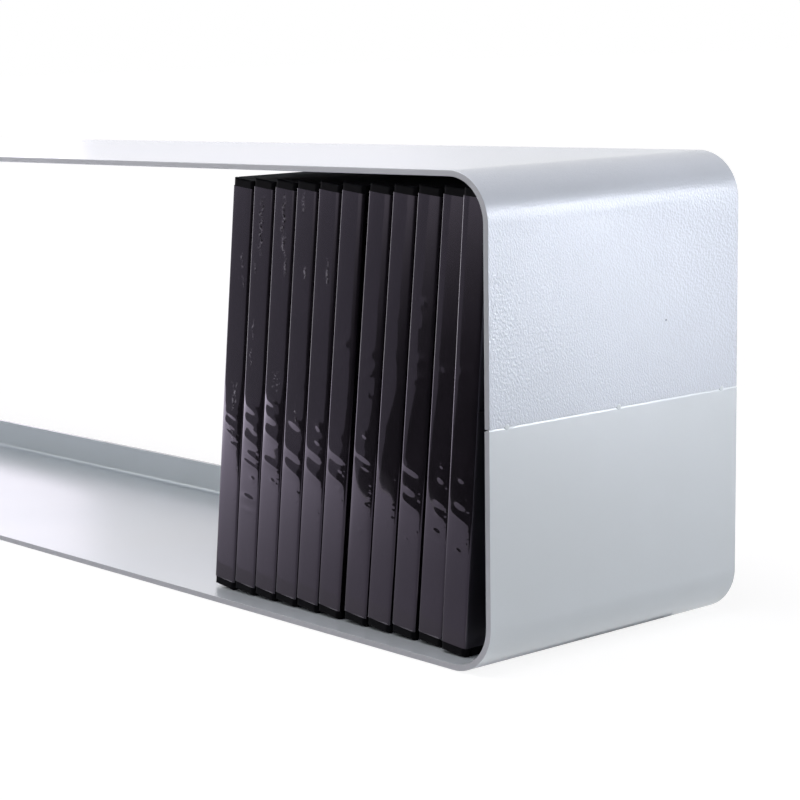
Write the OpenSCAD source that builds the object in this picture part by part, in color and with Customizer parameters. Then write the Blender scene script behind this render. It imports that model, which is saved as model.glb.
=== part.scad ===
// Wall shelf for disc cases: a closed, open-fronted loop of bent sheet metal.
// Two U-shaped halves meet at half height on both end walls, where small tack welds join them.
// A row of slim cases stands at the right-hand end, leaning against the end wall.
// Millimetres. X runs along the shelf, -Y is the open front, +Y the wall, +Z up.
// The origin is the middle of the underside.

/* [Cases] */
// How many cases stand in the row
case_count = 11; // [1:1:20]
// Thickness of a closed case, across its spine
case_t = 14; // [8:0.5:24]
// Depth of a case, from spine to opening edge
case_d = 135; // [110:1:160]
// Height of a case
case_h = 190; // [150:1:240]
// Wall of the moulding
wall_t = 1.2; // [0.8:0.1:2]
// Wall of the spine
spine_wall_t = 1.4; // [0.8:0.1:2.4]
// Rounding along the two upright edges of the spine
spine_edge_r = 2.2; // [0.5:0.1:2.5]
// Rounding along the upright edges beside the opening
fore_edge_r = 1; // [0.5:0.1:2.5]
// Rounding of the upper and lower corner at the spine
spine_corner_r = 0.8; // [0.3:0.1:3]
// Rounding of the two corners at the opening edge
fore_corner_r = 2.5; // [0.5:0.1:6]
// Width of the groove of each living hinge
hinge_w = 1; // [0.5:0.1:2]
// Depth of that groove, measured in the rim
hinge_depth = 0.6; // [0.3:0.05:0.75]
// Distance of the hinge groove from the spine face
hinge_set_back = 2.5; // [1.5:0.1:5]
// Slit between the two closed halves
parting_gap = 0.3; // [0.1:0.05:0.8]
// Radius of the thumb notch in the opening edge
notch_r = 10; // [6:0.5:16]
// Depth of the thumb notch
notch_depth = 3.5; // [1:0.25:6]

/* [Disc holder inside a case] */
// Radius of a disc
disc_r = 60; // [40:0.5:60]
// Play between a disc and the ring round it
disc_play = 1; // [0.5:0.1:3]
// Height of that ring above the panel
disc_ring_h = 2; // [1:0.25:4]
// Radius of the hub's foot
hub_foot_r = 16.5; // [12:0.5:20]
// Height of the hub's foot
hub_foot_h = 1.6; // [0.8:0.2:3]
// Radius of the hub's fingers, a push fit in a disc's hole
hub_r = 7.4; // [6:0.1:8]
// Height of the fingers above the foot
hub_h = 3; // [1.5:0.25:5]
// How many fingers the hub is slit into
hub_fingers = 8; // [4:2:12]

/* [Clear sleeve] */
// Thickness of the film
film_t = 0.15; // [0.1:0.05:0.3]
// Depth of the recess that takes the film
film_recess = 0.25; // [0.2:0.05:0.5]
// Air between the film and the case
film_air = 0.05; // [0.02:0.01:0.1]
// Height of the bare rim above and below the film
film_rim = 3.5; // [2:0.25:8]
// Bare strip beside the opening edge
film_fore_margin = 4; // [2:0.5:12]
// Play at the film's own edges
film_edge_gap = 0.1; // [0.05:0.05:0.5]

/* [Shelf] */
// Overall length of the shelf
shelf_l = 1000; // [600:10:1400]
// Free height above an upright case
head_room = 5; // [3:0.5:30]
// Distance from the shelf's front edge to the spines
front_set_back = 12.2; // [2:0.1:60]
// Thickness of the sheet
sheet_t = 2.5; // [1.5:0.1:4]
// Inner radius of the four big bends
bend_r = 18; // [8:0.5:40]

/* [Rear upstand] */
// Height of the upstand, from the underside of the shelf
upstand_h = 19; // [16:0.5:60]
// Inner radius of its bend
upstand_bend_r = 2.5; // [1:0.1:4]
// Rounding of its two upper corners
upstand_corner_r = 3; // [0.5:0.5:8]
// Width of the relief notch at each end of the bend
relief_w = 2; // [1:0.5:6]
// Radius of the holes for the wall screws
screw_hole_r = 2.5; // [1.5:0.1:4]
// Distance from each end of the shelf to its screw hole
screw_hole_inset = 120; // [60:5:260]
// Height of the screw holes above the underside
screw_hole_z = 12; // [11:0.5:13]

/* [Seam] */
// Depth of the groove where the halves meet
seam_groove = 0.45; // [0.2:0.05:1]
// How many tack welds join the halves on each end wall
tack_count = 3; // [2:1:6]
// Radius of a tack weld
tack_r = 1.5; // [0.8:0.1:3]
// Distance from the front and rear edge to the outer tacks
tack_inset = 10; // [5:0.5:30]
// How far a tack stands proud inside
tack_bead = 0.4; // [0.1:0.1:1]

/* [Row of cases] */
// Lean of the case against the end wall, in degrees
last_lean = 4.6; // [2:0.1:7]
// Lean that the rest of the row settles at, in degrees
row_lean = 6.4; // [2:0.1:9]
// Share of the difference in lean that is left at each next case
lean_ease = 0.56; // [0:0.02:0.9]
// How many cases stand left of the wider gap in the row
cases_before_gap = 6; // [0:1:20]
// Width of that wider gap
row_gap = 2.3; // [0:0.1:30]
// Air between neighbouring cases, and between the last case and the end wall
side_gap = 0.15; // [0.1:0.05:1]
// Air under the cases
seat_gap = 0.2; // [0.1:0.05:0.6]
// Air between the cases and the upstand
rear_gap = 0.3; // [0.1:0.05:4]
// How far the last case stands in front of the others
last_forward = 3.3; // [0:0.1:10]

/* [Hidden] */
// Overlap that makes a cut pass cleanly through a face
cut = 1;
// Overlap that welds one solid of a moulding to the next
weld = 0.2;
curve_fn = 96;

bend_outer_r = bend_r + sheet_t;
upstand_outer_r = upstand_bend_r + sheet_t;
shelf_h = case_h + head_room + 2 * sheet_t;
shelf_d = front_set_back + case_d + rear_gap + sheet_t;
front_y = -shelf_d / 2;
wall_y = shelf_d / 2;
seam_z = shelf_h / 2;
end_x = shelf_l / 2;

// Centre of the upper right bend, and of the lower one mirrored in Z
bend_x = end_x - bend_outer_r;
bend_z = shelf_h - bend_outer_r;

// The upstand stops short of the end bends, with a relief notch at each end
upstand_l = 2 * (bend_x - relief_w);

film_outer_inset = film_recess - film_air - film_t;
film_inner_inset = film_recess - film_air;
film_reach = case_d - film_fore_margin;

seat_z = sheet_t + seat_gap;

// The upper right corner of the last case rests against the bend or the wall beside it
last_top_z = seat_z + case_h * cos(last_lean);
bend_reach = bend_r - side_gap;
last_top_x = last_top_z > bend_z
    ? bend_x + sqrt(max(0, pow(bend_reach, 2) - pow(last_top_z - bend_z, 2)))
    : end_x - sheet_t - side_gap;
last_foot_x = min(bend_x, last_top_x - case_h * sin(last_lean));

// Two-figure label of a case, counted from the left
function label(i) = str(i < 10 ? "0" : "", i);

function case_name(i) = str("case_", label(i));

function sleeve_name(i) = str("sleeve_", label(i));

// Lean of case i: each case further from the end wall leans a little more
function lean(i) = row_lean + (last_lean - row_lean) * pow(lean_ease, case_count - i);

// Room between the feet of two neighbours leaning by a on the left and b on the right.
// They meet at the right one's upper left corner, or at its lower one if it leans more.
function foot_pitch(a, b) = side_gap / cos(a) + max(
    case_t * cos(b) - case_h * sin(b) + (case_h * cos(b) + case_t * sin(b)) * tan(a),
    case_t * cos(b) + case_t * sin(b) * tan(a)
);

// Lower right edge of case i
function foot_x(i) = i >= case_count
    ? last_foot_x
    : foot_x(i + 1) - foot_pitch(lean(i), lean(i + 1)) - (i == cases_before_gap ? row_gap : 0);

function spine_y(i) = front_y + front_set_back - (i == case_count ? last_forward : 0);

// The square bit outside a rounded corner at the origin
module corner_cut(r) {
    difference() {
        translate([-cut, -cut])
            square(r + cut);
        translate([r, r])
            circle(r = r, $fn = curve_fn);
    }
}

// Rectangle from the origin with its own radius at each corner, counted from the lower left
module rounded_plate(w, h, radii) {
    difference() {
        square([w, h]);
        corner_cut(radii[0]);
        translate([w, 0])
            rotate(90)
                corner_cut(radii[1]);
        translate([w, h])
            rotate(180)
                corner_cut(radii[2]);
        translate([0, h])
            rotate(270)
                corner_cut(radii[3]);
    }
}

// Front view of the whole loop: a rounded frame one sheet thick
module loop_outline() {
    translate([-end_x, 0])
        difference() {
            rounded_plate(shelf_l, shelf_h, [for (k = [0:3]) bend_outer_r]);
            translate([sheet_t, sheet_t])
                rounded_plate(shelf_l - 2 * sheet_t, shelf_h - 2 * sheet_t, [for (k = [0:3]) bend_r]);
        }
}

// Groove that the eased edges of the two halves leave along the seam on one end wall
module seam_groove_outline(side) {
    polygon([
        [side * (end_x - seam_groove), seam_z],
        [side * (end_x + cut), seam_z + seam_groove + cut],
        [side * (end_x + cut), seam_z - seam_groove - cut]
    ]);
}

// One half of the loop, from z0 upwards over half the height
module half_loop(z0) {
    rotate([90, 0, 0])
        linear_extrude(height = shelf_d, center = true)
            difference() {
                intersection() {
                    loop_outline();
                    translate([-end_x, z0])
                        square([shelf_l, seam_z]);
                }
                for (side = [-1, 1])
                    seam_groove_outline(side);
            }
}

// Centres of the tack welds along the depth
function tack_y(k) = front_y + tack_inset + k * (shelf_d - 2 * tack_inset) / (tack_count - 1);

// Round tacks through one end wall, reaching out and in past its faces by the given lengths
module tacks(side, outside, inside) {
    for (k = [0:tack_count - 1])
        translate([side * (end_x - sheet_t / 2), tack_y(k), seam_z])
            rotate([0, side * 90, 0])
                translate([0, 0, -sheet_t / 2 - inside])
                    cylinder(r = tack_r, h = sheet_t + inside + outside, $fn = curve_fn);
}

// Side view of the upstand's bend with a short run of the flat sheet before it
module upstand_bend_outline() {
    difference() {
        translate([wall_y - upstand_outer_r, upstand_outer_r])
            difference() {
                circle(r = upstand_outer_r, $fn = curve_fn);
                circle(r = upstand_bend_r, $fn = curve_fn);
            }
        translate([wall_y - 2 * upstand_outer_r - cut, 0])
            square([upstand_outer_r + cut, 2 * upstand_outer_r + cut]);
        translate([wall_y - upstand_outer_r - cut, upstand_outer_r])
            square([upstand_outer_r + 2 * cut, upstand_outer_r + cut]);
    }
    translate([wall_y - 2 * upstand_outer_r, 0])
        square([upstand_outer_r, sheet_t]);
}

module upstand() {
    rotate([90, 0, 90])
        linear_extrude(height = upstand_l, center = true)
            upstand_bend_outline();
    translate([-upstand_l / 2, wall_y, upstand_outer_r])
        rotate([90, 0, 0])
            linear_extrude(height = sheet_t)
                rounded_plate(
                    upstand_l,
                    upstand_h - upstand_outer_r,
                    [0, 0, upstand_corner_r, upstand_corner_r]
                );
}

module lower_shell() {
    color([0.76, 0.78, 0.81])
        difference() {
            union() {
                difference() {
                    half_loop(0);
                    translate([-bend_x, wall_y - upstand_outer_r, -cut])
                        cube([2 * bend_x, upstand_outer_r + cut, sheet_t + 2 * cut]);
                }
                upstand();
            }
            for (side = [-1, 1]) {
                tacks(side, cut, cut);
                translate([side * (end_x - screw_hole_inset), wall_y + cut, screw_hole_z])
                    rotate([90, 0, 0])
                        cylinder(r = screw_hole_r, h = sheet_t + 2 * cut, $fn = curve_fn);
            }
        }
}

module upper_shell() {
    color([0.8, 0.82, 0.85])
        difference() {
            half_loop(seam_z);
            for (side = [-1, 1])
                tacks(side, cut, cut);
        }
}

module tack_welds(side) {
    color([0.74, 0.76, 0.79])
        tacks(side, 0, tack_bead);
}

// Stands a case upright at the origin, then leans and seats it as case i of the row.
// Before that, the lower right edge of the case lies on the Y axis and its spine at y = 0.
module seated(i) {
    translate([foot_x(i), spine_y(i), seat_z])
        rotate([0, lean(i), 0])
            children();
}

// Plan view of a case, every face moved inwards by inset
module case_plan(inset) {
    spine_r = max(spine_edge_r - inset, film_air);
    fore_r = max(fore_edge_r - inset, film_air);
    translate([inset - case_t, inset])
        rounded_plate(case_t - 2 * inset, case_d - 2 * inset, [spine_r, spine_r, fore_r, fore_r]);
}

// The closed outer form: plan and side view crossed
module case_envelope() {
    intersection() {
        linear_extrude(height = case_h)
            case_plan(0);
        translate([-case_t, 0, 0])
            rotate([90, 0, 90])
                linear_extrude(height = case_t)
                    rounded_plate(
                        case_d,
                        case_h,
                        [spine_corner_r, fore_corner_r, fore_corner_r, spine_corner_r]
                    );
    }
}

// Round column that lies across the case at the middle of its opening edge
module notch_column(r) {
    translate([-case_t - cut, case_d + notch_r - notch_depth, case_h / 2])
        rotate([0, 90, 0])
            cylinder(r = r, h = case_t + 2 * cut, $fn = curve_fn);
}

// Space inside a closed case, which keeps a wall round the thumb notch
module case_cavity() {
    r = max(spine_edge_r - wall_t, film_air);
    difference() {
        translate([wall_t - case_t, spine_wall_t, wall_t])
            linear_extrude(height = case_h - 2 * wall_t)
                rounded_plate(case_t - 2 * wall_t, case_d - spine_wall_t - wall_t, [r, r, r, r]);
        notch_column(notch_r + wall_t);
    }
}

// Shallow band round the spine and both panels that the film lies in
module film_band() {
    translate([0, 0, film_rim])
        linear_extrude(height = case_h - 2 * film_rim)
            difference() {
                translate([-case_t - cut, -cut])
                    square([case_t + 2 * cut, film_reach + cut]);
                case_plan(film_recess);
            }
}

module hinge_grooves() {
    for (x = [-case_t - cut, -hinge_depth])
        translate([x, hinge_set_back, -cut])
            cube([hinge_depth + cut, hinge_w, case_h + 2 * cut]);
}

// Ring and slit hub that hold a disc, on the inner face of the left-hand panel
module disc_holder() {
    ring_r = disc_r + disc_play;
    translate([wall_t - case_t - weld, case_d / 2, case_h / 2])
        rotate([0, 90, 0]) {
            difference() {
                cylinder(r = ring_r + wall_t, h = weld + disc_ring_h, $fn = curve_fn);
                translate([0, 0, -cut])
                    cylinder(r = ring_r, h = weld + disc_ring_h + 2 * cut, $fn = curve_fn);
            }
            cylinder(r = hub_foot_r, h = weld + hub_foot_h, $fn = curve_fn);
            difference() {
                cylinder(r = hub_r, h = weld + hub_foot_h + hub_h, $fn = curve_fn);
                translate([0, 0, weld + hub_foot_h])
                    cylinder(r = hub_r - wall_t, h = hub_h + cut, $fn = curve_fn);
                for (k = [0:hub_fingers / 2 - 1])
                    rotate(k * 360 / hub_fingers)
                        translate([-hub_r - cut, -parting_gap, weld + hub_foot_h])
                            cube([2 * (hub_r + cut), 2 * parting_gap, hub_h + cut]);
            }
        }
}

// One-piece moulding: two trays joined through the spine by living hinges, shown closed
module case_moulding() {
    color([0.05, 0.05, 0.06])
        union() {
            difference() {
                case_envelope();
                case_cavity();
                notch_column(notch_r);
                film_band();
                hinge_grooves();
                translate([-(case_t + parting_gap) / 2, hinge_set_back + hinge_w, -cut])
                    cube([parting_gap, case_d, case_h + 2 * cut]);
            }
            disc_holder();
        }
}

// Film folded round the spine and both panels, open at top and bottom
module film_sleeve() {
    color([0.3, 0.3, 0.34])
        translate([0, 0, film_rim + film_edge_gap])
            linear_extrude(height = case_h - 2 * (film_rim + film_edge_gap))
                intersection() {
                    difference() {
                        case_plan(film_outer_inset);
                        case_plan(film_inner_inset);
                    }
                    translate([-case_t - cut, -cut])
                        square([case_t + 2 * cut, film_reach - film_edge_gap + cut]);
                }
}

lower_shell();
upper_shell();
tack_welds(1);  // right_tack_welds
tack_welds(-1);  // left_tack_welds
for (i = [1:case_count]) {
    seated(i) case_moulding();
    seated(i) film_sleeve();
}
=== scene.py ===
"""Dresses a long wall shelf of bent, coated sheet and the leaning row of film-wrapped disc cases in it."""

import logging
from dataclasses import dataclass
from enum import Enum
from math import atan2, copysign, cos, exp, hypot, pi, radians, sin, sqrt

import bmesh
import bpy
from mathutils import Matrix, Vector


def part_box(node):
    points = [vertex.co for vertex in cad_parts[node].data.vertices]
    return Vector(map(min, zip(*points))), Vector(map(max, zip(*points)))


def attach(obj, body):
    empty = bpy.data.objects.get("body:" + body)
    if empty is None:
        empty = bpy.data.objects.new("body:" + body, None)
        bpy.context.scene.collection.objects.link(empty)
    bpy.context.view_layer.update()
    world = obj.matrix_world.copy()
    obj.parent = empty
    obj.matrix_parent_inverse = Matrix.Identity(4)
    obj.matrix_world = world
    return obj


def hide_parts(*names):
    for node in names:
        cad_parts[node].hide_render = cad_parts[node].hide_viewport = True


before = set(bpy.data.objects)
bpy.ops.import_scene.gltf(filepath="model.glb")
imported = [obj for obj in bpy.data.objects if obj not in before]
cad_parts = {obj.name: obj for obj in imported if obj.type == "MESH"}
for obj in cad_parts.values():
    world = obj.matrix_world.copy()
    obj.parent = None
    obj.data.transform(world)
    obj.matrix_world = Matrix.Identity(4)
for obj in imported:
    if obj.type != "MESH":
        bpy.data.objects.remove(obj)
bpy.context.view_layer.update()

Pair = tuple[float, float]
Triple = tuple[float, float, float]
Socket = bpy.types.NodeSocket
Material = bpy.types.Material
Piece = bpy.types.Object
Mesh = bmesh.types.BMesh
Rows = list[list[bmesh.types.BMVert]]

MM = 0.001
TINY = 1e-6
SHELF_BODY = "shelf"
CREASED = "creased"
LACQUER_IOR = 1.5
# Where most values of a noise lie
NOISE_CORE = (0.3, 0.7)

log = logging.getLogger("shelf")


class Half(Enum):
    """The two bent halves of the loop."""

    LOWER = "lower_shell"
    UPPER = "upper_shell"


class Side(Enum):
    """The two end walls, as signs along X."""

    LEFT = -1
    RIGHT = 1


# Node graph helpers

class Graph:
    """The nodes of a material or world, with short calls for what the finishes share."""

    def __init__(self, owner: Material | bpy.types.World) -> None:
        """Clears the nodes of a new material or world.

        Args:
            owner: The material or world.
        """
        owner.use_nodes = True
        self.owner = owner
        owner.node_tree.nodes.clear()

    def node(self, kind: str, **settings: object) -> bpy.types.Node:
        """Adds one node.

        Args:
            kind: Blender's name of the node type.
            **settings: Attributes of the node, or values of its inputs where no attribute has that name.

        Returns:
            The new node.
        """
        made = self.owner.node_tree.nodes.new(kind)
        for name, value in settings.items():
            if hasattr(made, name):
                setattr(made, name, value)
            else:
                made.inputs[name.replace("_", " ")].default_value = value
        return made

    def link(self, source: Socket, *targets: Socket) -> None:
        """Joins an output to one or more inputs."""
        for target in targets:
            self.owner.node_tree.links.new(source, target)

    def show(self, surface: Socket, output: str = "ShaderNodeOutputMaterial") -> None:
        """Puts a shader on the output."""
        self.link(surface, self.node(output).inputs["Surface"])

    def principled(self, **levels: object) -> bpy.types.NodeInputs:
        """Puts one Principled shader on the output.

        Args:
            **levels: Constant values of its inputs.

        Returns:
            The shader's inputs.
        """
        shader = self.node("ShaderNodeBsdfPrincipled", **levels)
        self.show(shader.outputs["BSDF"])
        return shader.inputs

    def math(self, operation: str, *terms: object) -> Socket:
        """Adds a Math node.

        Args:
            operation: The operation's name.
            *terms: Numbers or sockets, in order.

        Returns:
            The output socket.
        """
        made = self.node("ShaderNodeMath", operation=operation)
        for place, term in enumerate(terms):
            if isinstance(term, Socket):
                self.link(term, made.inputs[place])
            else:
                made.inputs[place].default_value = term
        return made.outputs[0]

    def place(self) -> Socket:
        """Gives the place in the object's own space."""
        return self.node("ShaderNodeTexCoord").outputs["Object"]

    def seen_directly(self) -> Socket:
        """Tells camera, mirror and glass rays from light that falls on things.

        Returns:
            1 for the rays that see the surroundings as white.
        """
        path = self.node("ShaderNodeLightPath").outputs
        seen = self.math("MAXIMUM", path["Is Camera Ray"], path["Is Glossy Ray"])
        return self.math("MAXIMUM", seen, path["Is Transmission Ray"])

    def measure(self, operation: str, *other: Triple) -> Socket:
        """Measures the place in the object's own space.

        Args:
            operation: Name of a vector operation that gives a number.
            *other: The second vector, where the operation has one.

        Returns:
            The number's socket.
        """
        made = self.node("ShaderNodeVectorMath", operation=operation)
        self.link(self.place(), made.inputs[0])
        for vector in other:
            made.inputs[1].default_value = vector
        return made.outputs["Value"]

    def noise(self, feature: float, detail: float, roughness: float,
              stretch: Triple = (1.0, 1.0, 1.0), shift: Triple = (0.0, 0.0, 0.0)) -> Socket:
        """Adds a noise field laid out in the object's own space.

        Args:
            feature: Size of its blots in metres.
            detail: Number of finer layers.
            roughness: Share of each finer layer.
            stretch: How much longer the blots are along each axis.
            shift: How far the field is moved along each axis, in blots.

        Returns:
            The noise value, about 0 to 1.
        """
        scaled = self.node("ShaderNodeMapping", vector_type="POINT", Location=shift,
                           Scale=[1.0 / (feature * s) for s in stretch])
        made = self.node("ShaderNodeTexNoise", noise_dimensions="3D",
                         Scale=1.0, Detail=detail, Roughness=roughness)
        self.link(self.place(), scaled.inputs["Vector"])
        self.link(scaled.outputs["Vector"], made.inputs["Vector"])
        return made.outputs[0]

    def ramp(self, value: Socket, low: float, high: float,
             out_low: float = 0.0, out_high: float = 1.0) -> Socket:
        """Maps a value smoothly from one span to another.

        Args:
            value: The socket to map.
            low: Start of its span.
            high: End of its span.
            out_low: Result at the start.
            out_high: Result at the end.

        Returns:
            The mapped value.
        """
        made = self.node("ShaderNodeMapRange", interpolation_type="SMOOTHSTEP",
                         From_Min=low, From_Max=high, To_Min=out_low, To_Max=out_high)
        self.link(value, made.inputs["Value"])
        return made.outputs["Result"]

    def mix(self, share: Socket, under: Triple | Socket, over: Triple) -> Socket:
        """Lays a plain colour over another colour.

        Args:
            share: How much of the plain colour shows, 0 to 1.
            under: The colour below, or its socket.
            over: The plain colour.

        Returns:
            The socket of the mixed colour.
        """
        made = self.node("ShaderNodeMix", data_type="RGBA", B=(*over, 1.0))
        self.link(share, made.inputs["Factor"])
        if isinstance(under, Socket):
            self.link(under, made.inputs["A"])
        else:
            made.inputs["A"].default_value = (*under, 1.0)
        return made.outputs["Result"]

    def bump(self, *layers: tuple[Socket, float]) -> Socket:
        """Chains bump layers.

        Args:
            *layers: Pairs of a height between 0 and 1 and the depth in metres that it stands for.

        Returns:
            The normal socket of the last layer.
        """
        normal = None
        for height, depth in layers:
            made = self.node("ShaderNodeBump", Strength=1.0, Distance=depth)
            self.link(height, made.inputs["Height"])
            if normal is not None:
                self.link(normal, made.inputs["Normal"])
            normal = made.outputs["Normal"]
        return normal


# Finishes, in which a noise's three numbers are its size, its finer layers and their share

@dataclass(frozen=True)
class PowderCoat:
    """Pale silver powder coat with a fine orange peel."""

    name: str
    peel_depth: float
    peel: Triple = (0.95 * MM, 2.0, 0.45)
    # Painted light and shade of the peel's flanks below the bend
    painted_flank_shading: float = 0.0
    flank_levels: Pair = (182 * MM, 188 * MM)
    flank_shift: Triple = (0.0, 0.4, 0.15)
    flank_slope: float = 0.25
    # Small darker round specks in the coat's colour: their places, radii and colour
    dark_specks: tuple[Triple, ...] = ()
    speck_radii: Pair = (0.3 * MM, 0.65 * MM)
    speck_colour: Triple = (0.16, 0.17, 0.2)
    pale: Triple = (0.565, 0.612, 0.645)
    shade: Triple = (0.54, 0.585, 0.612)
    shade_span: Pair = (0.35, 0.65)
    cloud: Triple = (90 * MM, 3.0, 0.55)
    fleck: Triple = (0.35 * MM, 1.0, 0.5)
    fleck_share: float = 0.2
    swell: Triple = (22 * MM, 1.0, 0.5)
    swell_depth: float = 0.05 * MM
    roughness: Pair = (0.37, 0.43)
    metallic: float = 0.22
    specular: float = 0.5
    coat_weight: float = 0.6
    coat_roughness: float = 0.24

    def make(self) -> Material:
        """Builds the material.

        Returns:
            The coat's material.
        """
        graph = Graph(bpy.data.materials.new(self.name))
        inputs = graph.principled(
            Metallic=self.metallic, Specular_IOR_Level=self.specular, Coat_Weight=self.coat_weight,
            Coat_Roughness=self.coat_roughness, Coat_IOR=LACQUER_IOR)
        cloud = graph.noise(*self.cloud)
        fleck = graph.math("MULTIPLY", graph.noise(*self.fleck), self.fleck_share)
        tone = graph.math("ADD", graph.math("MULTIPLY", cloud, 1 - self.fleck_share), fleck)
        colour = graph.mix(graph.ramp(tone, *self.shade_span), self.shade, self.pale)
        # Painted light and shade of the peel's flanks
        if self.painted_flank_shading:
            colour = self.paint_flank_shading(graph, colour)
        # Darker round specks laid over the coat's colour
        for speck in self.dark_specks:
            spot = graph.ramp(graph.measure("DISTANCE", speck), *self.speck_radii, 1.0, 0.0)
            colour = graph.mix(spot, colour, self.speck_colour)
        graph.link(colour, inputs["Base Color"])
        graph.link(graph.ramp(cloud, *NOISE_CORE, *self.roughness), inputs["Roughness"])
        swell, peel = graph.noise(*self.swell), graph.noise(*self.peel)
        normal = graph.bump((swell, self.swell_depth), (peel, self.peel_depth))
        graph.link(normal, inputs["Normal"], inputs["Coat Normal"])
        return graph.owner

    def paint_flank_shading(self, graph: Graph, colour: Socket) -> Socket:
        """Paints the peel's light and shade into the colour below the bend: its front flanks a little paler,
        its rear flanks a little darker.

        Args:
            graph: The coat's graph.
            colour: The coat's colour.

        Returns:
            The shaded colour.
        """
        below = graph.ramp(graph.measure("DOT_PRODUCT", (0.0, 0.0, 1.0)), *self.flank_levels, 1.0, 0.0)
        ahead = graph.noise(*self.peel, shift=self.flank_shift)
        rise = graph.math("SUBTRACT", ahead, graph.noise(*self.peel))
        share = graph.ramp(graph.math("MULTIPLY", rise, below), -self.flank_slope, self.flank_slope,
                           1.0 - self.painted_flank_shading, 1.0 + self.painted_flank_shading)
        shaded = graph.node("ShaderNodeVectorMath", operation="SCALE")
        graph.link(colour, shaded.inputs[0])
        graph.link(share, shaded.inputs["Scale"])
        return shaded.outputs[0]


@dataclass(frozen=True)
class MouldedBlack:
    """Black moulded plastic with a fine grain and pale handling marks."""

    name: str = "case_black_plastic"
    deep: Triple = (0.0025, 0.0023, 0.0032)
    rubbed: Triple = (0.005, 0.0045, 0.0062)
    rubbed_span: Pair = (0.4, 0.75)
    cloud: Triple = (18 * MM, 4.0, 0.6)
    grain: Triple = (0.4 * MM, 2.0, 0.6)
    grain_depth: float = 0.012 * MM
    roughness: Pair = (0.45, 0.55)
    specular: float = 0.04

    def make(self) -> Material:
        """Builds the material.

        Returns:
            The moulding's material.
        """
        graph = Graph(bpy.data.materials.new(self.name))
        inputs = graph.principled(Specular_IOR_Level=self.specular)
        cloud = graph.noise(*self.cloud)
        colour = graph.mix(graph.ramp(cloud, *self.rubbed_span), self.deep, self.rubbed)
        graph.link(colour, inputs["Base Color"])
        graph.link(graph.ramp(cloud, *NOISE_CORE, *self.roughness), inputs["Roughness"])
        graph.link(graph.bump((graph.noise(*self.grain), self.grain_depth)), inputs["Normal"])
        return graph.owner


@dataclass(frozen=True)
class ClearFilm:
    """Clear glossy film that lies on a black case and shows it dark through two shiny faces, with a painted
    highlight along its creases.
    """

    name: str = "film_over_black"
    body: Triple = (0.0035, 0.0028, 0.0042)
    haze: Triple = (0.007, 0.0056, 0.0082)
    haze_span: Pair = (0.35, 0.7)
    # Colour of the painted highlight along the creases, which stands in for light caught by their facets,
    # and where in the broken noise it shows
    crease_highlight: Triple = (0.26, 0.25, 0.28)
    crease_highlight_span: Pair = (0.42, 0.62)
    cloud: Triple = (30 * MM, 3.0, 0.6)
    broken: Triple = (1.4 * MM, 1.0, 0.5)
    ripple: Triple = (9 * MM, 2.0, 0.5)
    ripple_stretch: Triple = (1.0, 1.0, 2.2)
    ripple_depth: float = 0.02 * MM
    pimple: Triple = (0.7 * MM, 1.0, 0.5)
    pimple_depth: float = 0.001 * MM
    roughness: Pair = (0.012, 0.03)
    specular: float = 0.56
    specular_tint: Triple = (0.92, 0.81, 1.0)
    coat_weight: float = 0.32
    coat_roughness: float = 0.1
    coat_tint: Triple = (1.0, 0.97, 1.0)

    def make(self) -> Material:
        """Builds the material.

        Returns:
            The film's material.
        """
        graph = Graph(bpy.data.materials.new(self.name))
        inputs = graph.principled(
            Specular_IOR_Level=self.specular, Specular_Tint=(*self.specular_tint, 1.0),
            Coat_Weight=self.coat_weight, Coat_Roughness=self.coat_roughness, Coat_IOR=LACQUER_IOR,
            Coat_Tint=(*self.coat_tint, 1.0))
        cloud = graph.noise(*self.cloud)
        colour = graph.mix(graph.ramp(cloud, *self.haze_span), self.body, self.haze)
        # Painted highlight: pale streaks along the creases stand in for light caught by their facets
        crease_mask = graph.node("ShaderNodeAttribute", attribute_name=CREASED).outputs["Fac"]
        streak_share = graph.math("MULTIPLY", crease_mask, graph.ramp(graph.noise(*self.broken), *self.crease_highlight_span))
        graph.link(graph.mix(streak_share, colour, self.crease_highlight), inputs["Base Color"])
        graph.link(graph.ramp(cloud, *NOISE_CORE, *self.roughness), inputs["Roughness"])
        ripple = graph.noise(*self.ripple, self.ripple_stretch)
        normal = graph.bump((ripple, self.ripple_depth), (graph.noise(*self.pimple), self.pimple_depth))
        graph.link(normal, inputs["Normal"], inputs["Coat Normal"])
        return graph.owner


# Mesh helpers

def object_from(name: str, mesh_data: Mesh, material: Material) -> Piece:
    """Turns a bmesh into a smooth-shaded object in the scene.

    Args:
        name: The piece's name.
        mesh_data: The bmesh, which is freed.
        material: Its material.

    Returns:
        The new object.
    """
    bmesh.ops.recalc_face_normals(mesh_data, faces=mesh_data.faces)
    mesh = bpy.data.meshes.new(name)
    mesh_data.to_mesh(mesh)
    mesh_data.free()
    mesh.materials.append(material)
    mesh.polygons.foreach_set("use_smooth", [True] * len(mesh.polygons))
    made = bpy.data.objects.new(name, mesh)
    bpy.context.scene.collection.objects.link(made)
    return made


def skin(mesh: Mesh, rows: Rows) -> None:
    """Fills the cells between rows of vertices.

    Args:
        mesh: The bmesh that holds them.
        rows: The rows in order. A longer row keeps its far end free.
    """
    for near, far in zip(rows, rows[1:]):
        for k in range(min(len(near), len(far)) - 1):
            mesh.faces.new((near[k], near[k + 1], far[k + 1], far[k]))


def apply_modifiers(piece: Piece) -> None:
    """Replaces a piece's mesh by what its modifiers make of it, and removes them.

    Args:
        piece: The object to settle.
    """
    bpy.context.view_layer.update()
    evaluated = piece.evaluated_get(bpy.context.evaluated_depsgraph_get())
    settled = bpy.data.meshes.new_from_object(evaluated)
    piece.modifiers.clear()
    old = piece.data
    piece.data = settled
    settled.name = piece.name
    bpy.data.meshes.remove(old)


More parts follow.
